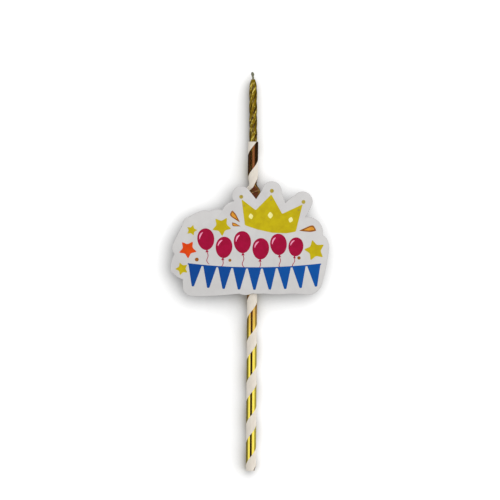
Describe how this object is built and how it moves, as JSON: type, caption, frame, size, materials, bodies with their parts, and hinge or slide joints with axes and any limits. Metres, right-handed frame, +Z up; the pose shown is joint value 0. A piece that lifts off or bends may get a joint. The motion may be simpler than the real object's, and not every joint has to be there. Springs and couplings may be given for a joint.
{
  "type": "cake topper candle",
  "caption": "Twisted metallic candle held in a foil striped paper straw with a die-cut printed card glued to its front, for pushing into a cake.",
  "frame": {"origin": "middle of the straw's lower end, the end that is pushed into the cake", "axes": "+Z up the straw towards the wick, +X to the right seen from the front, -Y out of the card's printed face"},
  "size_m": [0.095, 0.0083, 0.2388],
  "materials": {
    "straw_paper": "matte",
    "gold_foil": "polished",
    "printed_card": "satin",
    "glue": "gloss",
    "gold_wax": "satin",
    "wick_cotton": "matte"
  },
  "bodies": {
    "topper": {"straw_outer_ply": "straw_paper", "straw_middle_ply": "straw_paper", "straw_inner_ply": "straw_paper", "foil_stripe": "gold_foil", "plaque_card": "printed_card", "glue_bead": "glue"},
    "candle": {"candle_wax": "gold_wax", "candle_wick": "wick_cotton"}
  },
  "joints": [
    {"name": "candle_slide", "type": "slide", "parent": "topper", "child": "candle", "axis": [0, 0, 1], "range_m": [0, 0.022]}
  ]
}
